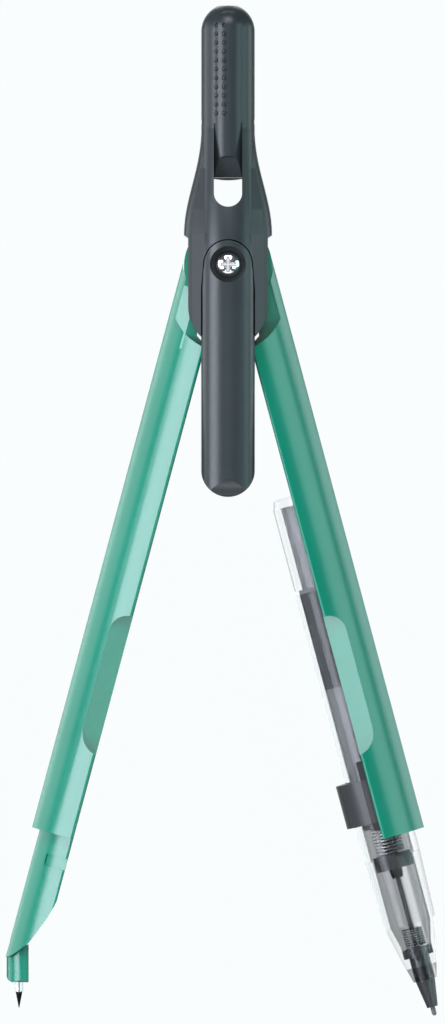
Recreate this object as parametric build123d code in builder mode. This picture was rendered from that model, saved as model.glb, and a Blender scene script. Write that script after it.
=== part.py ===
"""Drafting compass: forked grip head, two hinged half-round legs, needle foot and clear propelling pencil.

Frame: X right, Z up, Y from the front of the compass to its back. The hinge axis is the Y axis.
Each leg has its own pair of directions, measured from the hinge: u outward, t down the leg.
"""
from build123d import *
import math
import os

os.makedirs("parts", exist_ok=True)

# Driving dimensions, millimetres and degrees
REST_ANGLE = 15.0
MID_Y = -5.0
CHEEK_IN = 3.1
CHEEK_OUT = 5.0
RIDGE_CREST = 8.0

GRIP_R = 3.89
FLARE_R = 3.85
GRIP_TOP_Z = 37.74
GRIP_LOW_Z = 21.2
CHEEK_W = 5.79
CHEEK_STEP_Z = 4.0
CHEEK_ROUND_Z = -6.05
FORK_ROOF_R = 6.75
SLOT_HALF = 2.05
SLOT_LOW_Z = 8.35
SLOT_TOP_Z = 12.5
RIB_R = 2.6
RIB_DEPTH = 1.6
DOT_R = 0.33

BOSS_R = 3.45
BOSS_RECESS_R = 3.62
BAR_HALF = 3.89
BAR_END_Z = -33.7
COUNTERBORE_R = 2.6
SCREW_HEAD_R = 1.9
SCREW_HOLE_R = 1.02
SCREW_R = 1.0
SCREW_TIP_R = 0.78
SLEEVE_R = 1.8
DISC_R = 6.4
DISC_BORE_R = 1.82
DISC_CLEAR_R = 6.55

LEG_IN = 0.12
LEG_OUT = 6.4
LEG_CREST = 4.7
LEG_SHOULDER = -0.5
LEG_BACK = -2.9
LEG_WALL = 1.1
LEG_ARC_R = 10.9
LEG_END_T = 86.35
HEAD_WALL_U = 5.38
RECESS_T = 9.46
SCOOP_TOP_T = 52.9
SCOOP_LOW_T = 73.7
SCOOP_FLOOR = 2.15
SCOOP_LEAN = 0.396

FOOT_OUT = 5.18
FOOT_WALL = 0.9
FOOT_TOP_T = 85.2
NEEDLE_X = -30.45
NEEDLE_R = 0.59
NEEDLE_ROOT_R = 0.4
NEEDLE_TIP_Z = -108.1
BLOCK_LEFT_X = -32.27
BLOCK_RIGHT_X = -29.05
BLOCK_TOP_Z = -98.9
BLOCK_LOW_Z = -104.33

PENCIL_U = 0.84
PENCIL_Y = MID_Y + 2.2
BARREL_R = 3.9
BARREL_BORE_R = 3.175
BARREL_TOP_T = 49.0
COLLAR_R = 4.175
COLLAR_T = 83.86
BARREL_END_T = 89.4
RING_R = 5.32
RING_BORE_R = 3.93
RING_TOP_T = 77.4
RING_LOW_T = 83.8
LEAD_R = 0.35
LEAD_TIP_T = 113.3

COS = math.cos(math.radians(REST_ANGLE))
SIN = math.sin(math.radians(REST_ANGLE))
PENCIL_LEG = 1
NEEDLE_LEG = -1


def front_plane(depth):
    """Plane facing the viewer, depth measured forward of the mid plane. Local axes are X and Z."""
    return Plane(origin=(0, MID_Y - depth, 0), x_dir=(1, 0, 0), z_dir=(0, -1, 0))


def level_plane(height):
    """Horizontal plane at a height. Local axes are X and Y, about the mid plane."""
    return Plane(origin=(0, MID_Y, height), x_dir=(1, 0, 0), z_dir=(0, 0, 1))


def side_plane(x):
    """Upright plane seen from the side, starting at x. Local axes are the forward depth and Z."""
    return Plane(origin=(x, MID_Y, 0), x_dir=(0, -1, 0), z_dir=(-1, 0, 0))


def leg_plane(side, depth):
    """Plane along a leg, depth measured forward of the mid plane. Local axes are u and t."""
    return Plane(origin=(0, MID_Y - depth, 0), x_dir=(side * COS, 0, SIN), z_dir=(0, side, 0))


def cross_plane(side, t):
    """Plane square to a leg at t. Local axes are u and the forward depth."""
    return Plane(
        origin=(side * SIN * t, MID_Y, -COS * t),
        x_dir=(side * COS, 0, SIN),
        z_dir=(SIN, 0, -side * COS),
    )


def pencil_plane():
    """Plane through the pencil's axis. Local axes are the radius and t."""
    return Plane(
        origin=(PENCIL_U * COS, PENCIL_Y, PENCIL_U * SIN),
        x_dir=(COS, 0, SIN),
        z_dir=(0, 1, 0),
    )


def pencil_point(t):
    return (PENCIL_U * COS + SIN * t, PENCIL_Y, PENCIL_U * SIN - COS * t)


PENCIL_AXIS = Axis(origin=pencil_point(0), direction=(SIN, 0, -COS))


def leg_arc(u, inset):
    """Forward depth of the leg's rounded front at u, set in by a wall."""
    return -5.7 + math.sqrt((LEG_ARC_R - inset) ** 2 - (u + 3.18) ** 2)


def flare_half_width(z):
    """Half width of the grip where it swells down to its shoulders."""
    share = (GRIP_LOW_Z - z) / (GRIP_LOW_Z - 4.4)
    return FLARE_R + (6.4 - FLARE_R) * (0.5 - 0.5 * math.cos(math.pi * share)) ** 1.25


# Cheek block: stepped shoulder, rounded foot and softened upright corners
with BuildPart() as cheek_block:
    with BuildSketch(level_plane(-14)):
        RectangleRounded(12.8, 2 * CHEEK_OUT, 3.0)
        Polygon((-5.2, -4.4), (-3.3, -6.59), (3.3, -6.59), (5.2, -4.4), (5.2, 0), (-5.2, 0), align=None)
    extrude(amount=18.4)
    with BuildSketch(front_plane(-CHEEK_OUT - 1)):
        with BuildLine():
            Polyline((-CHEEK_W, CHEEK_ROUND_Z), (-CHEEK_W, CHEEK_STEP_Z), (-6.41, 4.41), (-9, 4.41), (-9, -15),
                     (9, -15), (9, 4.41), (6.41, 4.41), (CHEEK_W, CHEEK_STEP_Z), (CHEEK_W, CHEEK_ROUND_Z))
            ThreePointArc(
                (CHEEK_W, CHEEK_ROUND_Z), (0, CHEEK_ROUND_Z - CHEEK_W), (-CHEEK_W, CHEEK_ROUND_Z)
            )
        make_face()
    extrude(amount=2 * CHEEK_OUT + 2, mode=Mode.SUBTRACT)

# Grip and forked head: round grip, swelling into a block that is split for the two hinge discs
with BuildPart() as handle:
    with BuildSketch(level_plane(GRIP_LOW_Z)):
        Circle(GRIP_R)
    extrude(amount=34.0 - GRIP_LOW_Z)
    with BuildSketch(Plane(origin=(0, MID_Y, 0), x_dir=(1, 0, 0), z_dir=(0, -1, 0))):
        with BuildLine():
            Line((0, 33.9), (GRIP_R, 33.9))
            ThreePointArc((GRIP_R, 33.9), (3.0, 36.55), (1.4, GRIP_TOP_Z))
            Line((1.4, GRIP_TOP_Z), (0, GRIP_TOP_Z))
            Line((0, GRIP_TOP_Z), (0, 33.9))
        make_face()
    revolve(axis=Axis(origin=(0, MID_Y, 0), direction=(0, 0, 1)))
    for z in (GRIP_LOW_Z, 18.6, 16.0, 13.4, 10.8, 8.2, 6.2, 4.4):
        with BuildSketch(level_plane(z)):
            share = (GRIP_LOW_Z - z) / (GRIP_LOW_Z - 4.4)
            RectangleRounded(
                2 * flare_half_width(z), 2 * (FLARE_R + (CHEEK_OUT - FLARE_R) * share), 3.8 - 0.8 * share
            )
    loft()
    add(cheek_block.part)
    # sloping flanks of the ridge
    for z, foot_x, foot_y, top_y in ((14.0, 4.0, 3.4, 3.9), (8.0, 5.0, 4.3, 5.64), (4.4, 5.2, 4.4, 6.5)):
        with BuildSketch(level_plane(z)):
            Polygon((-foot_x, -foot_y), (-3.3, -top_y), (3.3, -top_y), (foot_x, -foot_y), (foot_x, 0), (-foot_x, 0),
                    align=None)
    loft(ruled=True)
    # half round ridge from the slot down to the boss
    for z, centre, rise in ((20.5, 0.0, 3.8), (14.0, 2.0, 3.6), (8.0, 4.0, 3.1), (3.0, 5.0, 2.95), (0.0, 5.0, 3.0)):
        with BuildSketch(level_plane(z)):
            with Locations((0, -centre)):
                Ellipse(BAR_HALF, rise)
    loft()
    # keep the back flat and cut the fork for the discs
    with BuildSketch(front_plane(-CHEEK_OUT)):
        with Locations((0, 10)):
            Rectangle(20, 80)
    extrude(amount=-5, mode=Mode.SUBTRACT)
    with BuildSketch(front_plane(-CHEEK_IN)):
        Circle(FORK_ROOF_R)
        with Locations((0, -7)):
            Rectangle(20, 14)
    extrude(amount=2 * CHEEK_IN, mode=Mode.SUBTRACT)
    # room for the boss of the front bar and a channel for the bar below it
    with BuildSketch(front_plane(CHEEK_OUT)):
        Circle(BOSS_RECESS_R)
        Polygon((-BOSS_RECESS_R, 0), (-BAR_HALF - 0.04, -3.6), (-BAR_HALF - 0.04, -14), (BAR_HALF + 0.04, -14),
                (BAR_HALF + 0.04, -3.6), (BOSS_RECESS_R, 0), align=None)
    extrude(amount=6, mode=Mode.SUBTRACT)
    # through slot above the head
    with BuildSketch(front_plane(-10)):
        with BuildLine():
            Line((-SLOT_HALF, SLOT_LOW_Z + SLOT_HALF), (-SLOT_HALF, SLOT_TOP_Z + 0.2))
            ThreePointArc(
                (-SLOT_HALF, SLOT_TOP_Z + 0.2), (0, SLOT_TOP_Z), (SLOT_HALF, SLOT_TOP_Z + 0.2)
            )
            Line((SLOT_HALF, SLOT_TOP_Z + 0.2), (SLOT_HALF, SLOT_LOW_Z + SLOT_HALF))
            ThreePointArc(
                (SLOT_HALF, SLOT_LOW_Z + SLOT_HALF), (0, SLOT_LOW_Z), (-SLOT_HALF, SLOT_LOW_Z + SLOT_HALF)
            )
        make_face()
    extrude(amount=22, mode=Mode.SUBTRACT)
    # channel between the arms, cut down to the rib
    with BuildSketch(Plane(origin=(0, MID_Y, SLOT_TOP_Z - 1), x_dir=(1, 0, 0), z_dir=(0, 0, 1))):
        with Locations((0, -4)):
            Rectangle(2 * SLOT_HALF, 8 + 2 * RIB_DEPTH)
    extrude(amount=20.6 - SLOT_TOP_Z + 1, mode=Mode.SUBTRACT)
    # half round rib with a domed top and a slanted lower end
    with BuildSketch(Plane(origin=(0, MID_Y, SLOT_TOP_Z + 0.2), x_dir=(1, 0, 0), z_dir=(0, 0, 1))):
        with Locations((0, -RIB_DEPTH)):
            Circle(RIB_R)
        with Locations((0, -RIB_DEPTH)):
            Rectangle(2 * SLOT_HALF + 0.02, 2 * RIB_R + 1, mode=Mode.INTERSECT)
    extrude(amount=34.55 - SLOT_TOP_Z - 0.2)
    with Locations((0, MID_Y - RIB_DEPTH, 34.55)):
        Sphere(RIB_R)
    with BuildSketch(side_plane(SLOT_HALF + 0.02)):
        Polygon((6.0, 16.9), (3.9, 15.6), (3.1, SLOT_TOP_Z - 0.2), (6.0, SLOT_TOP_Z - 0.2), align=None)
    extrude(amount=2 * SLOT_HALF + 0.04, mode=Mode.SUBTRACT)
    # two columns of grip dots on the left half of the rib
    for row in range(11):
        for x in (-1.7, -0.62):
            reach = math.sqrt(RIB_R ** 2 - x ** 2)
            with Locations((x, MID_Y - RIB_DEPTH - reach, 34.8 - 1.28 * row)):
                Sphere(DOT_R)
    # screw hole in the front cheek and blind pocket for the insert in the rear cheek
    with BuildSketch(front_plane(CHEEK_IN - 0.5)):
        Circle(SCREW_HOLE_R)
    extrude(amount=4, mode=Mode.SUBTRACT)
    with BuildSketch(front_plane(-CHEEK_IN - 1.5)):
        Circle(1.6)
    extrude(amount=2.0, mode=Mode.SUBTRACT)
handle.part.label = "handle"
export_step(handle.part, "parts/handle.step")


# Front bar: half round bar that starts as a boss round the pivot screw and covers the legs' meeting line
with BuildPart() as front_bar:
    with BuildSketch(level_plane(BAR_END_Z)):
        with Locations((0, -CHEEK_OUT)):
            Ellipse(BAR_HALF, RIDGE_CREST - CHEEK_OUT)
        with Locations((0, 5 - CHEEK_OUT)):
            Rectangle(20, 10, mode=Mode.SUBTRACT)
    extrude(amount=BOSS_R - BAR_END_Z)
    with BuildSketch(front_plane(0)):
        Circle(BOSS_R)
        Polygon((-BOSS_R, 0), (-BAR_HALF, -3.6), (-BAR_HALF, BAR_END_Z + BAR_HALF), (BAR_HALF, BAR_END_Z + BAR_HALF),
                (BAR_HALF, -3.6), (BOSS_R, 0), align=None)
        with Locations((0, BAR_END_Z + BAR_HALF)):
            Circle(BAR_HALF)
    extrude(amount=12, mode=Mode.INTERSECT)
    # rounded nose at the lower end
    with BuildSketch(side_plane(6)):
        with BuildLine():
            Line((RIDGE_CREST + 2, BAR_END_Z - 2), (RIDGE_CREST + 2, BAR_END_Z + 3.4))
            Line((RIDGE_CREST + 2, BAR_END_Z + 3.4), (RIDGE_CREST, BAR_END_Z + 3.4))
            ThreePointArc(
                (RIDGE_CREST, BAR_END_Z + 3.4), (RIDGE_CREST - 0.85, BAR_END_Z + 0.9), (CHEEK_OUT + 0.5, BAR_END_Z)
            )
            Line((CHEEK_OUT + 0.5, BAR_END_Z), (CHEEK_OUT + 0.5, BAR_END_Z - 2))
            Line((CHEEK_OUT + 0.5, BAR_END_Z - 2), (RIDGE_CREST + 2, BAR_END_Z - 2))
        make_face()
    extrude(amount=12, mode=Mode.SUBTRACT)
    # counterbore and hole for the screw
    with BuildSketch(front_plane(CHEEK_OUT + 1.3)):
        Circle(COUNTERBORE_R)
    extrude(amount=3, mode=Mode.SUBTRACT)
    with BuildSketch(front_plane(CHEEK_OUT - 0.5)):
        Circle(SCREW_HOLE_R)
    extrude(amount=4, mode=Mode.SUBTRACT)
front_bar.part.label = "front_bar"
export_step(front_bar.part, "parts/front_bar.step")


# Pivot screw: cross-recessed pan head, shank through the bar and the sleeve, tip in the insert
with BuildPart() as pivot_screw:
    with BuildSketch(side_plane(0)):
        with BuildLine():
            Line((CHEEK_OUT + 1.3, 0), (CHEEK_OUT + 1.3, SCREW_HEAD_R))
            Line((CHEEK_OUT + 1.3, SCREW_HEAD_R), (CHEEK_OUT + 1.75, SCREW_HEAD_R))
            ThreePointArc(
                (CHEEK_OUT + 1.75, SCREW_HEAD_R), (CHEEK_OUT + 2.4, 1.2), (CHEEK_OUT + 2.65, 0)
            )
            Line((CHEEK_OUT + 2.65, 0), (CHEEK_OUT + 1.3, 0))
        make_face()
    revolve(axis=Axis(origin=(0, MID_Y, 0), direction=(0, -1, 0)))
    with BuildSketch(front_plane(CHEEK_OUT + 1.3)):
        Circle(SCREW_R)
    extrude(amount=-(CHEEK_OUT + 1.3 + CHEEK_IN - 0.05))
    with BuildSketch(front_plane(-CHEEK_IN + 0.1)):
        Circle(SCREW_TIP_R)
    extrude(amount=-1.4)
    with BuildSketch(front_plane(CHEEK_OUT + 2.75)):
        Rectangle(2.5, 0.72)
        Rectangle(0.72, 2.5)
    extrude(amount=-1.0, taper=14, mode=Mode.SUBTRACT)
pivot_screw.part.label = "pivot_screw"
export_step(pivot_screw.part, "parts/pivot_screw.step")


# Pivot sleeve: the tube both hinge discs turn on, clamped between the cheeks
with BuildPart() as pivot_sleeve:
    with BuildSketch(front_plane(-CHEEK_IN)):
        Circle(SLEEVE_R)
        Circle(SCREW_HOLE_R, mode=Mode.SUBTRACT)
    extrude(amount=2 * CHEEK_IN)
pivot_sleeve.part.label = "pivot_sleeve"
export_step(pivot_sleeve.part, "parts/pivot_sleeve.step")


# Brass insert in the rear cheek that the screw is driven into
with BuildPart() as brass_insert:
    with BuildSketch(front_plane(-CHEEK_IN - 1.5)):
        Circle(1.6)
        Circle(SCREW_TIP_R + 0.02, mode=Mode.SUBTRACT)
    extrude(amount=1.5)
brass_insert.part.label = "brass_insert"
export_step(brass_insert.part, "parts/brass_insert.step")


# Three friction washers: before, between and behind the discs
with BuildPart() as friction_washers:
    for depth, thickness in ((CHEEK_IN - 0.17, 0.17), (-0.08, 0.16), (-CHEEK_IN, 0.17)):
        with BuildSketch(front_plane(depth)):
            Circle(4.6)
            Circle(SLEEVE_R + 0.02, mode=Mode.SUBTRACT)
        extrude(amount=thickness)
friction_washers.part.label = "friction_washers"
export_step(friction_washers.part, "parts/friction_washers.step")


def leg_section(inset, back, inner_u, crest_round=0.0):
    """Half-round section of a leg in u and forward depth, set in by a wall, with a rounded inner crest."""
    outer_u = LEG_OUT - inset
    low = leg_arc(outer_u, inset) if outer_u < 6.2 else LEG_SHOULDER
    top = leg_arc(inner_u, inset)
    middle_u = 0.5 * (inner_u + outer_u)
    with BuildSketch() as section:
        with BuildLine():
            Polyline((inner_u, top - crest_round), (inner_u, back), (outer_u, back), (outer_u, low))
            crest_u = inner_u + crest_round
            ThreePointArc((outer_u, low), (middle_u, leg_arc(middle_u, inset)), (crest_u, leg_arc(crest_u, inset)))
            if crest_round:
                bulge = 0.29 * crest_round
                ThreePointArc((crest_u, leg_arc(crest_u, inset)), (inner_u + bulge, top - bulge - 0.1 * crest_round),
                              (inner_u, top - crest_round))
        make_face()
    return section.sketch


def recess_outline(inner_u):
    """Outline of the flat recess round the hinge, in u and t, from an inner limit outward."""
    start_t = 0 if inner_u > 0 else -12
    with BuildSketch() as recess:
        with BuildLine():
            Polyline((HEAD_WALL_U, RECESS_T), (HEAD_WALL_U, start_t), (inner_u, start_t), (inner_u, 12.6),
                     (LEG_IN + 0.01, 12.6))
            Spline((LEG_IN + 0.01, 12.6), (2.12, 11.95), (3.0, 11.54), (4.0, 10.85), (HEAD_WALL_U, RECESS_T))
        make_face()
    return recess.sketch


def scoop_outline():
    """Outline of the finger scoop in u and t."""
    with BuildSketch() as scoop:
        with BuildLine():
            Polyline((2.9, 70.0), (2.9, SCOOP_TOP_T + 2.6))
            RadiusArc((2.9, SCOOP_TOP_T + 2.6), (0.3, SCOOP_TOP_T), 2.6)
            Polyline((0.3, SCOOP_TOP_T), (-1, SCOOP_TOP_T), (-1, SCOOP_LOW_T), (0.2, SCOOP_LOW_T))
            Spline((0.2, SCOOP_LOW_T), (2.05, 72.6), (2.9, 70.0))
        make_face()
    return scoop.sketch


def scoop_cut(side):
    """Volume taken out for the finger scoop, above a floor that leans down toward the inner side."""
    with BuildPart() as cut:
        with BuildSketch(leg_plane(side, 8)):
            add(scoop_outline())
        extrude(amount=side * 7)
        with BuildSketch(cross_plane(side, SCOOP_TOP_T - 2)):
            Polygon((-2, SCOOP_FLOOR - 2 * SCOOP_LEAN), (3.5, SCOOP_FLOOR + 3.5 * SCOOP_LEAN), (3.5, 0), (-2, 0),
                    align=None)
        extrude(amount=side * (SCOOP_LOW_T - SCOOP_TOP_T + 4), mode=Mode.SUBTRACT)
    return cut.part


def make_leg(side, disc_front):
    """One leg: hinge disc, recessed head and half-round shell that is open at the back and the inner side."""
    disc_back = disc_front - 2.8
    plate_front = max(disc_front, 0.9)
    with BuildPart() as leg:
        with BuildSketch(cross_plane(side, 0)):
            add(leg_section(0, LEG_BACK, LEG_IN, 0.5))
        extrude(amount=side * LEG_END_T)
        # hollow
        with BuildSketch(cross_plane(side, 13.6)):
            add(leg_section(LEG_WALL, LEG_BACK - 1, -2))
        extrude(amount=side * LEG_END_T, mode=Mode.SUBTRACT)
        # hinge disc with a lower rim, and the flat plate that joins it to the shell
        with BuildSketch(leg_plane(side, disc_front)):
            Circle(HEAD_WALL_U)
        extrude(amount=side * 2.8)
        with BuildSketch(leg_plane(side, plate_front)):
            add(recess_outline(LEG_IN))
        extrude(amount=side * (plate_front - disc_back))
        with BuildSketch(leg_plane(side, min(disc_front, 1.2))):
            Circle(DISC_R)
        extrude(amount=side * (min(disc_front, 1.2) - disc_back))
        # recess in front of the disc for the front cheek
        with BuildSketch(leg_plane(side, plate_front)):
            add(recess_outline(-12))
        extrude(amount=-side * 9, mode=Mode.SUBTRACT)
        with BuildSketch(leg_plane(side, CHEEK_IN - 0.15)):
            with Locations((HEAD_WALL_U + 2, RECESS_T - 10)):
                Rectangle(6, 20)
        extrude(amount=-side * 9, mode=Mode.SUBTRACT)
        # behind or in front of the disc, room for the other leg's disc
        spare_front = LEG_CREST + 4 if disc_front < 2 else disc_back
        spare_back = disc_front if disc_front < 2 else LEG_BACK - 2
        with BuildSketch(leg_plane(side, spare_front)):
            Circle(DISC_CLEAR_R)
        extrude(amount=side * (spare_front - spare_back), mode=Mode.SUBTRACT)
        if disc_front > 2:
            # the plate's outer part leans down toward the leg's outer side
            with BuildSketch(cross_plane(side, 4.5)):
                Polygon((3.4, disc_front), (3.4, 8), (7, 8), (7, disc_front - 3.6 * 0.48), align=None)
            extrude(amount=side * 9, mode=Mode.SUBTRACT)
            with BuildSketch(leg_plane(side, disc_back)):
                with Locations((2.2, 9.0)):
                    Rectangle(6.2, 7.0)
            extrude(amount=side * 5, mode=Mode.SUBTRACT)
        # small notch beside the cheek's foot
        with BuildSketch(leg_plane(side, 8)):
            Polygon((-1, 10.2), (1.8, 10.6), (1.7, 11.1), (0.7, 11.75), (-1, 12.0), align=None)
        extrude(amount=side * 14, mode=Mode.SUBTRACT)
        # raised floor under the finger scoop, then the scoop itself
        with BuildSketch(cross_plane(side, SCOOP_TOP_T - 1.2)):
            with BuildLine():
                Polyline((LEG_IN, 1.78), (1.4, 1.78), (2.2, 1.62), (3.9, 0.9), (4.0, 1.8), (2.0, 3.2), (LEG_IN, 3.9),
                         (LEG_IN, 1.78))
            make_face()
        extrude(amount=side * (SCOOP_LOW_T + 0.8 - SCOOP_TOP_T + 1.2))
        add(scoop_cut(side), mode=Mode.SUBTRACT)
        # bore for the pivot sleeve
        with BuildSketch(leg_plane(side, 9)):
            Circle(DISC_BORE_R)
        extrude(amount=side * 14, mode=Mode.SUBTRACT)
    return leg


needle_leg_shell = make_leg(NEEDLE_LEG, 2.9)
needle_leg_shell.part.label = "needle_leg_shell"
export_step(needle_leg_shell.part, "parts/needle_leg_shell.step")

pencil_leg_shell = make_leg(PENCIL_LEG, -0.1)
pencil_leg_shell.part.label = "pencil_leg_shell"
export_step(pencil_leg_shell.part, "parts/pencil_leg_shell.step")


# Needle foot: thinner half-round shell that leaves the leg's sleeve and ends in a claw and a needle block
with BuildPart() as needle_foot:
    foot_inset = LEG_WALL + 0.06
    with BuildSketch(cross_plane(NEEDLE_LEG, FOOT_TOP_T)):
        add(leg_section(foot_inset, LEG_BACK, 0.12, 0.4))
    extrude(amount=NEEDLE_LEG * (105.6 - FOOT_TOP_T))
    with BuildSketch(cross_plane(NEEDLE_LEG, FOOT_TOP_T - 1)):
        add(leg_section(foot_inset + FOOT_WALL, LEG_BACK - 1, -2))
    extrude(amount=NEEDLE_LEG * 30, mode=Mode.SUBTRACT)
    # web that carries the block
    with BuildSketch(leg_plane(NEEDLE_LEG, -1.0)):
        Polygon((3.5, 96.5), (FOOT_OUT, 96.5), (FOOT_OUT, 105.6), (2.75, 104.4), (2.75, 103.2), (3.5, 101.5),
                align=None)
    extrude(amount=NEEDLE_LEG * 3.3)
    # claw outline
    with BuildSketch(leg_plane(NEEDLE_LEG, 9)):
        with BuildLine():
            Spline((0.0, 94.7), (0.38, 96.9), (1.0, 98.9), (1.83, 101.0), (2.56, 102.7), (3.49, 103.9),
                   (4.12, 104.7), (5.3, 105.7))
            Polyline((5.3, 105.7), (5.3, 112), (-6, 112), (-6, 94.7), (0.0, 94.7))
        make_face()
    extrude(amount=NEEDLE_LEG * 20, mode=Mode.SUBTRACT)
    # tongue that runs up inside the sleeve along the outer wall
    with BuildSketch(cross_plane(NEEDLE_LEG, 76.0)):
        with BuildLine():
            Polyline((4.62, -2.8), (5.22, -2.8), (5.22, -1.1), (4.62, -0.7), (4.62, -2.8))
        make_face()
    extrude(amount=NEEDLE_LEG * 14)
    # shallow groove below the sleeve
    groove_inset = foot_inset + 0.2
    with BuildSketch(cross_plane(NEEDLE_LEG, 89.4)):
        with BuildLine():
            ThreePointArc((-1, leg_arc(-1, groove_inset)), (1.2, leg_arc(1.2, groove_inset)),
                          (3.3, leg_arc(3.3, groove_inset)))
            Polyline((3.3, leg_arc(3.3, groove_inset)), (3.3, 8), (-1, 8), (-1, leg_arc(-1, groove_inset)))
        make_face()
    extrude(amount=NEEDLE_LEG * 1.7, mode=Mode.SUBTRACT)
    # upright needle block with a rounded front
    with BuildSketch(Plane(origin=(0, MID_Y, BLOCK_LOW_Z), x_dir=(1, 0, 0), z_dir=(0, 0, 1))):
        with BuildLine():
            Polyline((BLOCK_LEFT_X, 2.3), (BLOCK_LEFT_X, 4.3), (BLOCK_RIGHT_X, 4.3), (BLOCK_RIGHT_X, 0.06))
            ThreePointArc((BLOCK_RIGHT_X, 0.06), (-31.5, 0.78), (BLOCK_LEFT_X, 2.3))
        make_face()
    extrude(amount=BLOCK_TOP_Z - BLOCK_LOW_Z)
    # its top follows the foot's outer side, its lower corner is cut back
    with BuildSketch(front_plane(3)):
        Polygon((-34, -100.25), (BLOCK_LEFT_X, -100.25), (-31.7, -98.2), (-31.7, -97), (-34, -97), align=None)
        Polygon((-34, -103.55), (BLOCK_LEFT_X, -103.55), (-32.05, -104.05), (-31.5, BLOCK_LOW_Z), (-31.5, -106),
                (-34, -106), align=None)
    extrude(amount=-10, mode=Mode.SUBTRACT)
    # chamfer along the lower front edge
    with BuildSketch(side_plane(-28)):
        Polygon((0.6, -103.3), (0.6, -105), (-1.1, -105), align=None)
    extrude(amount=6, mode=Mode.SUBTRACT)
    with BuildSketch(Plane(origin=(NEEDLE_X, PENCIL_Y, BLOCK_LOW_Z - 1), x_dir=(1, 0, 0), z_dir=(0, 0, 1))):
        Circle(NEEDLE_ROOT_R)
    extrude(amount=1 + 4.6, mode=Mode.SUBTRACT)
needle_foot.part.label = "needle_foot"
export_step(needle_foot.part, "parts/needle_foot.step")


# Steel needle pressed into the block, with a conical point
with BuildPart() as needle:
    with BuildSketch(Plane(origin=(NEEDLE_X, PENCIL_Y, 0), x_dir=(1, 0, 0), z_dir=(0, -1, 0))):
        with BuildLine():
            Polyline(
                (0, BLOCK_LOW_Z + 4.6),
                (NEEDLE_ROOT_R, BLOCK_LOW_Z + 4.6),
                (NEEDLE_ROOT_R, BLOCK_LOW_Z),
                (NEEDLE_R, BLOCK_LOW_Z),
                (NEEDLE_R, -105.7),
                (0.5, -105.75),
                (0.05, NEEDLE_TIP_Z),
                (0, NEEDLE_TIP_Z),
                (0, BLOCK_LOW_Z + 4.6),
            )
        make_face()
    revolve(axis=Axis(origin=(NEEDLE_X, PENCIL_Y, 0), direction=(0, 0, 1)))
needle.part.label = "needle"
export_step(needle.part, "parts/needle.step")


# Pencil clip: split-free ring round the barrel with a short spine, seated inside the pencil leg
with BuildPart() as pencil_clip:
    with BuildSketch(pencil_plane()):
        with BuildLine():
            Polyline((RING_BORE_R, RING_TOP_T), (RING_R, RING_TOP_T), (RING_R, RING_LOW_T),
                     (RING_BORE_R, RING_LOW_T), (RING_BORE_R, RING_TOP_T))
        make_face()
    revolve(axis=PENCIL_AXIS)
    with BuildSketch(cross_plane(PENCIL_LEG, RING_LOW_T + 1.2)):
        with BuildLine():
            Polyline((-0.79, 2.1), (1.3, 2.1), (1.3, 2.9), (-0.79, 2.9), (-0.79, 2.1))
        make_face()
    extrude(amount=-(RING_LOW_T + 1.2 - SCOOP_LOW_T - 0.9))
    with BuildSketch(cross_plane(PENCIL_LEG, 70)):
        add(leg_section(LEG_WALL + 0.03, -12, -7))
    extrude(amount=20, mode=Mode.INTERSECT)
    # flat on the ring's free side
    with BuildSketch(cross_plane(PENCIL_LEG, 70)):
        Polygon((-7, 8.2), (-3.05, 8.2), (-3.05, MID_Y - PENCIL_Y + 6.47), (-4.42, MID_Y - PENCIL_Y + 2.2), (-7, 2),
                align=None)
    extrude(amount=20, mode=Mode.SUBTRACT)
pencil_clip.part.label = "pencil_clip"
export_step(pencil_clip.part, "parts/pencil_clip.step")


def turned(points):
    """Solid of revolution about the pencil's axis from radius and t points."""
    with BuildPart() as solid:
        with BuildSketch(pencil_plane()):
            with BuildLine():
                Polyline(*points, close=True)
            make_face()
        revolve(axis=PENCIL_AXIS)
    return solid


def coil(radius, wire, top, low, turns):
    """Coil spring about the pencil's axis."""
    with BuildPart() as spring:
        with BuildLine() as path:
            Helix((low - top) / turns, low - top, radius, center=pencil_point(top), direction=(SIN, 0, -COS))
        with BuildSketch(Plane(origin=path.line @ 0, z_dir=path.line % 0)):
            Circle(wire)
        sweep(path=path.line, is_frenet=True)
    return spring


# Clear barrel with a thicker collar below the ring
pencil_barrel = turned((
    (BARREL_BORE_R, BARREL_TOP_T), (BARREL_R - 0.15, BARREL_TOP_T), (BARREL_R, BARREL_TOP_T + 0.15),
    (BARREL_R, COLLAR_T), (COLLAR_R - 0.1, COLLAR_T), (COLLAR_R, COLLAR_T + 0.1),
    (COLLAR_R, BARREL_END_T - 0.03), (BARREL_BORE_R, BARREL_END_T - 0.03),
))
pencil_barrel.part.label = "pencil_barrel"
export_step(pencil_barrel.part, "parts/pencil_barrel.step")

# Clear tapered nose shell
nose_shell = turned((
    (2.95, BARREL_END_T), (4.15, BARREL_END_T), (3.825, 99.3), (2.55, 104.9), (1.75, 107.9),
    (1.46, 107.9), (1.46, 104.35), (2.2, 104.35), (2.2, 102.6), (2.95, 99.6),
))
nose_shell.part.label = "nose_shell"
export_step(nose_shell.part, "parts/nose_shell.step")

# Push cap, a clear cup over the grey core
push_cap = turned((
    (0, 34.8), (3.0, 34.8), (3.375, 35.1), (3.75, 36.4), (3.75, 48.4), (2.54, 48.4), (2.54, 36.2), (0, 36.2),
))
push_cap.part.label = "push_cap"
export_step(push_cap.part, "parts/push_cap.step")

cap_core = turned(((1.0, 36.25), (2.52, 36.25), (2.52, 59.9), (1.0, 59.9)))
cap_core.part.label = "cap_core"
export_step(cap_core.part, "parts/cap_core.step")

inner_sleeve = turned(((2.54, 48.45), (3.15, 48.45), (3.15, 63.4), (2.54, 63.4)))
inner_sleeve.part.label = "inner_sleeve"
export_step(inner_sleeve.part, "parts/inner_sleeve.step")

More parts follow.
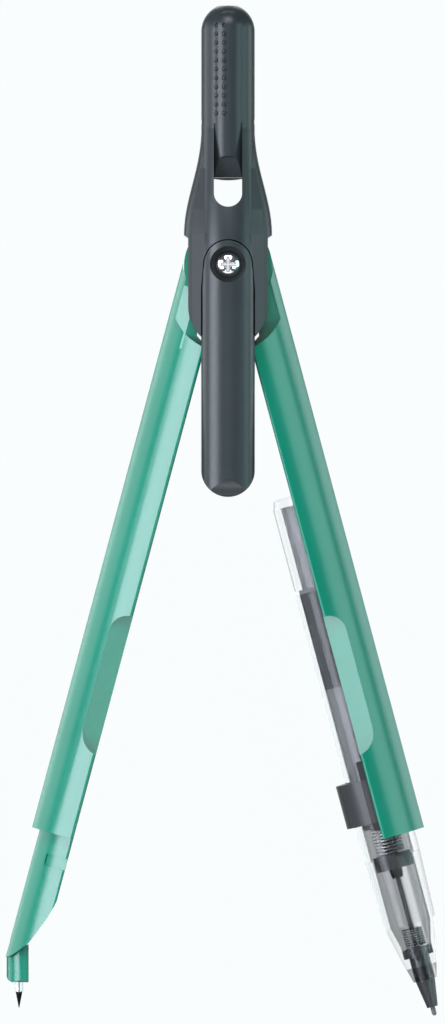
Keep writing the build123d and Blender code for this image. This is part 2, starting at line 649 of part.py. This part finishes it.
# Grey lead reservoir below the sleeve
lead_reservoir = turned((
    (2.45, 60.0), (2.49, 60.0), (2.49, 63.4), (3.05, 63.4), (3.05, 84.75), (0.95, 84.75), (0.95, 83.5),
    (2.45, 83.5),
))
lead_reservoir.part.label = "lead_reservoir"
export_step(lead_reservoir.part, "parts/lead_reservoir.step")

# Black collar that the feed spring stands on
spring_seat = turned(((0.97, 88.95), (2.8, 88.95), (2.8, 91.1), (0.97, 91.1)))
spring_seat.part.label = "spring_seat"
export_step(spring_seat.part, "parts/spring_seat.step")

# Chuck tube that grips the lead
chuck = turned(((0.37, 83.5), (0.94, 83.5), (0.94, 91.6), (0.8, 92.5), (0.37, 92.5)))
chuck.part.label = "chuck"
export_step(chuck.part, "parts/chuck.step")

# Metal guide cone at the very tip
nose_tip = turned((
    (0.38, 103.0), (2.15, 103.0), (2.15, 104.3), (1.41, 104.3), (1.41, 108.1), (0.8, 112.0), (0.38, 112.0),
))
nose_tip.part.label = "nose_tip"
export_step(nose_tip.part, "parts/nose_tip.step")

lead = turned(((0, 62.0), (LEAD_R, 62.0), (LEAD_R, 113.0), (0.2, LEAD_TIP_T), (0, LEAD_TIP_T)))
lead.part.label = "lead"
export_step(lead.part, "parts/lead.step")

# Feed spring between the reservoir and the seat
feed_spring = coil(1.99, 0.15, 84.95, 88.75, 8)
feed_spring.part.label = "feed_spring"
export_step(feed_spring.part, "parts/feed_spring.step")

# Tip spring above the guide cone
tip_spring = coil(1.4, 0.12, 100.2, 102.85, 8)
tip_spring.part.label = "tip_spring"
export_step(tip_spring.part, "parts/tip_spring.step")
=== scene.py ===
"""Looks of the drafting compass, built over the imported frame."""
import math

import bpy
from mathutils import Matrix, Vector

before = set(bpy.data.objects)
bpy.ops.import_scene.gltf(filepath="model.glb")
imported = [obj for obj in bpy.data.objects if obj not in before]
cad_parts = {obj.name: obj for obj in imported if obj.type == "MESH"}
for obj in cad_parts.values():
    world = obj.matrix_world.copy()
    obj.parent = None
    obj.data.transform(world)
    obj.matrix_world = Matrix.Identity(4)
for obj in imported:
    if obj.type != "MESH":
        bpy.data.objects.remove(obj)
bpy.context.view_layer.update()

MM = 0.001
S15 = math.sin(math.radians(15))
C15 = math.cos(math.radians(15))

# The pencil's axis, and distances down it from the hinge's level, in millimetres
PENCIL_SIDE = 0.84
PENCIL_DEPTH = -2.8
DOWN_PENCIL = (S15, 0, -C15)
ACROSS_PENCIL = (C15, 0, S15)
NOSE_WIDE_T = 99.3
NOSE_NARROW_T = 104.9
# Radius in millimetres inside which the clear parts take the painted bore shade
SKIN_LIMIT_WIDE = 3.3
SKIN_LIMIT_NARROW = 2.3
SKIN_SOFTNESS = 0.02
# Side offset and widths in millimetres of the painted highlight strip along the nose's bore
HIGHLIGHT_STRIP_SIDE = 1.05
HIGHLIGHT_STRIP_CORE = 0.35
HIGHLIGHT_STRIP_EDGE = 0.75
# Distances down the pencil over which the guide's painted lighter tone fades out
GUIDE_HIDDEN_T = 107.7
GUIDE_BARE_T = 108.0
# World height in millimetres between which the needle's blackened point begins
NEEDLE_DARK_Z = -105.90
NEEDLE_BRIGHT_Z = -105.75


# ---------------------------------------------------------------- materials
def linear(r, g, b):
    """Display colour from 0 to 255 as scene-linear red, green, blue, alpha."""
    out = []
    for v in (r, g, b):
        v = v / 255
        out.append(v / 12.92 if v <= 0.04045 else ((v + 0.055) / 1.055) ** 2.4)
    return (*out, 1.0)


class Nodes:
    """Small helper that adds and links shader nodes in one material."""

    def __init__(self, name):
        self.mat = bpy.data.materials.new(name)
        self.mat.use_nodes = True
        self.tree = self.mat.node_tree
        self.tree.nodes.clear()
        self.out = self.add("ShaderNodeOutputMaterial")
        self.shader = self.add("ShaderNodeBsdfPrincipled")
        self.link(self.shader, "BSDF", self.out, "Surface")
        self.coords = self.add("ShaderNodeTexCoord")

    def add(self, kind, **props):
        node = self.tree.nodes.new(kind)
        for key, value in props.items():
            setattr(node, key, value)
        return node

    def link(self, a, a_socket, b, b_socket):
        self.tree.links.new(a.outputs[a_socket], b.inputs[b_socket])

    def set(self, **values):
        for key, value in values.items():
            self.shader.inputs[key.replace("_", " ")].default_value = value

    def noise(self, scale, detail=3.0, roughness=0.55, stretch=None):
        node = self.add("ShaderNodeTexNoise")
        node.inputs["Scale"].default_value = scale
        node.inputs["Detail"].default_value = detail
        node.inputs["Roughness"].default_value = roughness
        if stretch:
            mapping = self.add("ShaderNodeMapping")
            mapping.inputs["Scale"].default_value = stretch
            self.link(self.coords, "Object", mapping, "Vector")
            self.link(mapping, "Vector", node, "Vector")
        else:
            self.link(self.coords, "Object", node, "Vector")
        return node

    def span(self, source, socket, low_value, high_value, from_min=0.3, from_max=0.7):
        node = self.add("ShaderNodeMapRange")
        node.inputs["From Min"].default_value = from_min
        node.inputs["From Max"].default_value = from_max
        node.inputs["To Min"].default_value = low_value
        node.inputs["To Max"].default_value = high_value
        self.link(source, socket, node, "Value")
        return node

    def blend(self, factor, factor_socket, a, b):
        node = self.add("ShaderNodeMix", data_type="RGBA")
        node.inputs[6].default_value = a
        node.inputs[7].default_value = b
        self.tree.links.new(factor.outputs[factor_socket], node.inputs[0])
        return node

    def colour(self, a, b, scale, detail=3.0, stretch=None):
        """Base colour that drifts between two close tones."""
        n = self.noise(scale, detail, stretch=stretch)
        m = self.blend(self.span(n, "Fac", 0.0, 1.0), "Result", a, b)
        self.tree.links.new(m.outputs[2], self.shader.inputs["Base Color"])
        return m

    def rough(self, a, b, scale, detail=4.0, stretch=None):
        n = self.noise(scale, detail, stretch=stretch)
        r = self.span(n, "Fac", a, b)
        self.link(r, "Result", self.shader, "Roughness")

    def bump(self, scale, depth_mm, strength=1.0, detail=3.0, stretch=None):
        n = self.noise(scale, detail, stretch=stretch)
        b = self.add("ShaderNodeBump")
        b.inputs["Strength"].default_value = strength
        b.inputs["Distance"].default_value = depth_mm * MM
        self.link(n, "Fac", b, "Height")
        previous = self.shader.inputs["Normal"].links
        if previous:
            self.tree.links.new(previous[0].from_socket, b.inputs["Normal"])
        self.link(b, "Normal", self.shader, "Normal")


def plastic(
    name, a, b, rough=(0.3, 0.36), grain=2600, grain_mm=0.004, wave=140, wave_mm=0.02, specular=0.5
):
    """Moulded plastic: slight tone drift, fine tool grain and faint sink waviness."""
    m = Nodes(name)
    m.colour(a, b, 90)
    m.rough(rough[0], rough[1], 1500)
    m.bump(grain, grain_mm, detail=2.0)
    m.bump(wave, wave_mm, detail=1.0)
    m.set(IOR=1.49, Specular_IOR_Level=specular)
    return m


def metal(name, a, b, rough=(0.16, 0.24), lines=(900, 900, 900)):
    """Plated or drawn metal with faint working lines."""
    m = Nodes(name)
    m.colour(a, b, 400)
    m.rough(rough[0], rough[1], 1.0, stretch=lines)
    m.bump(1.0, 0.003, detail=2.0, stretch=lines)
    m.set(Metallic=1.0)
    return m


def clear(name, outer, bore_shade, edge, highlight_strip=None, rough=(0.02, 0.05), frost=0.0):
    """Clear moulded plastic with painted shade: its bore is painted grey for the dim reflections seen
    inside it, and its skin darker where it is seen edge on, for its dark outline; an optional strip is a
    painted highlight.

    The low index of refraction is chosen so that the pieces inside keep their apparent width.
    """
    m = Nodes(name)
    offset = m.add("ShaderNodeVectorMath", operation="SUBTRACT")
    offset.inputs[1].default_value = (PENCIL_SIDE * MM * C15, PENCIL_DEPTH * MM, PENCIL_SIDE * MM * S15)
    m.link(m.coords, "Object", offset, 0)
    across = m.add("ShaderNodeVectorMath", operation="CROSS_PRODUCT")
    across.inputs[1].default_value = DOWN_PENCIL
    m.link(offset, "Vector", across, 0)
    radius = m.add("ShaderNodeVectorMath", operation="LENGTH")
    m.link(across, "Vector", radius, 0)
    along = m.add("ShaderNodeVectorMath", operation="DOT_PRODUCT")
    along.inputs[1].default_value = DOWN_PENCIL
    m.link(offset, "Vector", along, 0)
    # painted shade: inside the skin limit the clear parts take the grey bore colour, standing in for the
    # dim reflections seen in the bore
    limit = m.span(
        along, "Value", SKIN_LIMIT_WIDE * MM, SKIN_LIMIT_NARROW * MM, NOSE_WIDE_T * MM, NOSE_NARROW_T * MM
    )
    inside = m.add("ShaderNodeMath", operation="SUBTRACT")
    m.link(radius, "Value", inside, 0)
    m.link(limit, "Result", inside, 1)
    outside = m.span(inside, "Value", 0.0, 1.0, -SKIN_SOFTNESS * MM, SKIN_SOFTNESS * MM)
    skin = m.blend(outside, "Result", bore_shade, outer)
    if highlight_strip:
        # painted highlight: one lighter strip along the bore, standing in for a streak of reflected light
        side = m.add("ShaderNodeVectorMath", operation="DOT_PRODUCT")
        side.inputs[1].default_value = ACROSS_PENCIL
        m.link(offset, "Vector", side, 0)
        distance = m.add("ShaderNodeMath", operation="SUBTRACT")
        distance.inputs[1].default_value = HIGHLIGHT_STRIP_SIDE * MM
        m.link(side, "Value", distance, 0)
        away = m.add("ShaderNodeMath", operation="ABSOLUTE")
        m.link(distance, "Value", away, 0)
        off_highlight_strip = m.span(away, "Value", 0.0, 1.0, HIGHLIGHT_STRIP_CORE * MM, HIGHLIGHT_STRIP_EDGE * MM)
        lit = m.blend(off_highlight_strip, "Result", highlight_strip, bore_shade)
        m.tree.links.new(lit.outputs[2], skin.inputs[6])
    # painted shade: the skin turns to the edge colour where it is seen edge on, standing in for the dark
    # outline of clear plastic
    view = m.add("ShaderNodeLayerWeight")
    view.inputs["Blend"].default_value = 0.5
    rim = m.blend(m.span(view, "Facing", 0.0, 1.0, 0.62, 0.78), "Result", outer, edge)
    m.tree.links.new(rim.outputs[2], skin.inputs[7])
    drift = m.noise(120)
    shade = m.span(drift, "Fac", 0.985, 1.0)
    tinted = m.add("ShaderNodeVectorMath", operation="SCALE")
    m.tree.links.new(skin.outputs[2], tinted.inputs[0])
    m.link(shade, "Result", tinted, "Scale")
    m.link(tinted, "Vector", m.shader, "Base Color")
    m.rough(rough[0] + frost, rough[1] + frost, 800)
    m.bump(300, 0.004, detail=1.0)
    m.set(Transmission_Weight=1.0, IOR=1.06, Coat_Weight=0.35, Coat_Roughness=0.06, Coat_IOR=1.4)
    return m


BLACK = plastic(
    "black_plastic", linear(35, 42, 45), linear(39, 46, 49),
    rough=(0.33, 0.39), grain_mm=0.0025, specular=0.29
)
BAR = plastic(
    "bar_plastic", linear(36, 43, 46), linear(40, 47, 50),
    rough=(0.31, 0.37), grain_mm=0.0025, specular=0.33
)
GREEN = plastic("green_plastic", linear(4, 109, 88), linear(7, 113, 92), rough=(0.2, 0.25))
FOOT = plastic("foot_plastic", linear(4, 109, 88), linear(7, 113, 92), rough=(0.2, 0.26))
CLIP = plastic(
    "clip_plastic", linear(38, 39, 41), linear(43, 44, 46), rough=(0.36, 0.42), grain=3200, grain_mm=0.006
)
SLEEVE = plastic(
    "sleeve_plastic", linear(108, 109, 112), linear(114, 115, 118), rough=(0.5, 0.6), specular=0.2
)
CORE = plastic(
    "core_plastic", linear(116, 117, 119), linear(124, 125, 127), rough=(0.5, 0.6), specular=0.2
)
TUBE = plastic(
    "tube_plastic", linear(164, 165, 167), linear(172, 173, 175), rough=(0.5, 0.6), specular=0.2
)
SEAT = plastic("seat_plastic", linear(84, 85, 88), linear(92, 93, 96), rough=(0.3, 0.38))
WASHER = plastic("washer_plastic", linear(215, 215, 210), linear(222, 222, 218))
CHROME = metal("screw_chrome", (0.86, 0.87, 0.89, 1), (0.8, 0.81, 0.83, 1), rough=(0.12, 0.2))
STEEL = metal("spring_steel", (0.6, 0.6, 0.62, 1), (0.5, 0.5, 0.52, 1), rough=(0.22, 0.3))
DARK_STEEL = metal("dark_spring", (0.3, 0.3, 0.31, 1), (0.22, 0.22, 0.225, 1), rough=(0.25, 0.34))
BRASS = metal("insert_brass", (0.72, 0.52, 0.22, 1), (0.66, 0.47, 0.2, 1))
CHUCK = metal("chuck_metal", (0.10, 0.10, 0.105, 1), (0.07, 0.07, 0.075, 1), rough=(0.3, 0.4))
LEAD = plastic("lead_graphite", linear(78, 79, 82), linear(86, 87, 90), rough=(0.35, 0.45), grain=5000)
# second colour: painted shade of the bore; third: painted shade where seen edge on
CLEAR = clear("clear_plastic", (0.93, 0.94, 0.945, 1), (0.37, 0.372, 0.376, 1), (0.66, 0.67, 0.68, 1))
# second colour: painted shade of the bore; third: painted shade where seen edge on; fourth: the painted
# highlight strip
NOSE = clear(
    "clear_nose", (0.87, 0.885, 0.89, 1), (0.36, 0.362, 0.366, 1), (0.68, 0.69, 0.695, 1),
    (0.75, 0.755, 0.76, 1)
)
# the third colour is painted shade where the cap is seen edge on
FROST = clear(
    "frosted_cap", (0.93, 0.94, 0.945, 1), (0.88, 0.885, 0.89, 1), (0.16, 0.16, 0.165, 1), frost=0.08
)


def needle_material():
    """Bright shank above a blackened point."""
    m = metal("needle_steel", (0.6, 0.6, 0.62, 1), (0.5, 0.5, 0.52, 1), rough=(0.18, 0.26))
    split = m.add("ShaderNodeSeparateXYZ")
    m.link(m.coords, "Object", split, "Vector")
    edge = m.span(split, "Z", 1.0, 0.0, NEEDLE_DARK_Z * MM, NEEDLE_BRIGHT_Z * MM)
    point = m.blend(edge, "Result", (0.5, 0.5, 0.52, 1), (0.03, 0.03, 0.032, 1))
    base = m.shader.inputs["Base Color"].links[0].from_socket
    m.tree.links.new(base, point.inputs[6])
    m.tree.links.new(point.outputs[2], m.shader.inputs["Base Color"])
    return m


def tip_material():
    """Grey guide, with a painted lighter tone where it stands inside the clear nose, standing in for
    light scattered by the clear wall in front of it.
    """
    m = plastic("tip_finish", linear(38, 40, 42), linear(44, 46, 48), rough=(0.3, 0.38))
    along = m.add("ShaderNodeVectorMath", operation="DOT_PRODUCT")
    along.inputs[1].default_value = DOWN_PENCIL
    m.link(m.coords, "Object", along, 0)
    inside = m.span(along, "Value", 1.0, 0.0, GUIDE_HIDDEN_T * MM, GUIDE_BARE_T * MM)
    # painted light: lighter grey where the guide stands inside the clear nose
    shade = m.blend(inside, "Result", linear(40, 42, 44), linear(84, 86, 88))
    m.tree.links.new(m.shader.inputs["Base Color"].links[0].from_socket, shade.inputs[6])
    m.tree.links.new(shade.outputs[2], m.shader.inputs["Base Color"])
    return m


TIP = tip_material()
NEEDLE = needle_material()

FINISH = {
    "handle": BLACK,
    "front_bar": BAR,
    "pivot_screw": CHROME,
    "pivot_sleeve": STEEL,
    "brass_insert": BRASS,
    "friction_washers": WASHER,
    "needle_leg_shell": GREEN,
    "pencil_leg_shell": GREEN,
    "needle_foot": FOOT,
    "needle": NEEDLE,
    "pencil_clip": CLIP,
    "pencil_barrel": CLEAR,
    "nose_shell": NOSE,
    "push_cap": FROST,
    "cap_core": CORE,
    "inner_sleeve": SLEEVE,
    "lead_reservoir": TUBE,
    "feed_spring": STEEL,
    "spring_seat": SEAT,
    "chuck": CHUCK,
    "tip_spring": DARK_STEEL,
    "nose_tip": TIP,
    "lead": LEAD,
}
for node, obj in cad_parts.items():
    obj.data.materials.clear()
    obj.data.materials.append(FINISH[node].mat)


# ---------------------------------------------------------------- stage, light, camera
def backdrop():
    """Pale wall far behind and pale floor far below."""
    m = Nodes("backdrop_paint")
    m.colour(linear(60, 61, 61), linear(58, 59, 59), 3.0)
    m.rough(0.85, 0.95, 40)
    m.set(Specular_IOR_Level=0.0)
    emission = m.blend(m.noise(2.0), "Fac", linear(251, 254, 254), linear(250, 253, 254))
    m.tree.links.new(emission.outputs[2], m.shader.inputs["Emission Color"])
    m.set(Emission_Strength=0.98)
    for name, place, turn, size in (
        ("backdrop_wall", (0, 3.4, 0), (math.pi / 2, 0, 0), 3.6),
        ("backdrop_floor", (0, 0, -3.4), (0, 0, 0), 5.0),
    ):
        bpy.ops.mesh.primitive_plane_add(size=size, location=place, rotation=turn)
        obj = bpy.context.object
        obj.name = name
        obj.data.materials.append(m.mat)


backdrop()
CENTRE = (0.0, -0.005, -0.036)


def area_light(name, azimuth, elevation, distance, width, height, radiance, tint=(1, 1, 1)):
    """Soft panel of a given brightness, at an azimuth left (+) or right (-) of the camera."""
    data = bpy.data.lights.new(name, "AREA")
    data.shape = "RECTANGLE"
    data.size = width
    data.size_y = height
    data.energy = radiance * math.pi * width * height
    data.color = tint
    obj = bpy.data.objects.new(name, data)
    a = math.radians(azimuth)
    e = math.radians(elevation)
    direction = Vector((-math.sin(a) * math.cos(e), -math.cos(a) * math.cos(e), math.sin(e)))
    offset = direction * distance
    obj.location = Vector(CENTRE) + offset
    obj.rotation_euler = (-offset).to_track_quat("-Z", "Y").to_euler()
    obj.visible_camera = False
    bpy.context.scene.collection.objects.link(obj)
    return obj


COOL = (0.9, 0.935, 1.05)
# name, azimuth, elevation, distance, width, height, radiance and any tint
LIGHTS = (
    ("key_left", 53, 8, 0.9, 0.54, 0.50, 11.0, COOL),
    ("card_right", -73, 8, 0.9, 0.46, 0.50, 3.6, (0.66, 1.02, 1.0)),
    ("key_low", 44, -15, 0.9, 0.42, 0.22, 8.5, COOL),
    ("card_low", -44, -14, 0.9, 0.42, 0.24, 4.6, (0.8, 1.0, 1.0)),
    ("rim_left", 102, 6, 0.9, 0.50, 0.50, 2.2),
    ("edge_left", 118, 6, 0.9, 0.16, 0.50, 3.4),
    ("rim_right", -110, 6, 0.9, 0.36, 0.50, 3.4, (0.8, 0.98, 1.02)),
    ("front_high", 0, 52, 0.9, 0.6, 0.5, 8.0),
    ("front_low", 0, -52, 0.9, 0.6, 0.5, 3.0),
    ("front_card", 0, 0, 1.9, 0.9, 0.9, 0.9),
    ("back_soft", 180, 40, 0.9, 0.5, 0.4, 3.0),
)
for light in LIGHTS:
    area_light(*light)

world = bpy.data.worlds.new("studio")
bpy.context.scene.world = world
world.use_nodes = True
tree = world.node_tree
background = tree.nodes["Background"]
path = tree.nodes.new("ShaderNodeLightPath")
mix = tree.nodes.new("ShaderNodeMix")
mix.data_type = "RGBA"
mix.inputs[6].default_value = (0.09, 0.092, 0.095, 1)
mix.inputs[7].default_value = linear(251, 254, 254)
tree.links.new(path.outputs["Is Camera Ray"], mix.inputs[0])
tree.links.new(mix.outputs[2], background.inputs["Color"])
background.inputs["Strength"].default_value = 1.0

DISTANCE = 1.5
PICTURE_HEIGHT = 0.149
SENSOR_HEIGHT = 24
CAMERA_X = -0.0008
CAMERA_Z = -0.03588
HEAD_MIDDLE_Y = -0.005
camera_data = bpy.data.cameras.new("camera")
camera = bpy.data.objects.new("camera", camera_data)
bpy.context.scene.collection.objects.link(camera)
camera.location = (CAMERA_X, HEAD_MIDDLE_Y - DISTANCE, CAMERA_Z)
camera.rotation_euler = (math.pi / 2, 0, 0)
camera_data.sensor_fit = "VERTICAL"
camera_data.sensor_height = SENSOR_HEIGHT
camera_data.lens = SENSOR_HEIGHT * DISTANCE / PICTURE_HEIGHT
camera_data.clip_end = 20
bpy.context.scene.camera = camera
bpy.context.scene.view_settings.view_transform = "Standard"
bpy.context.scene.view_settings.look = "None"
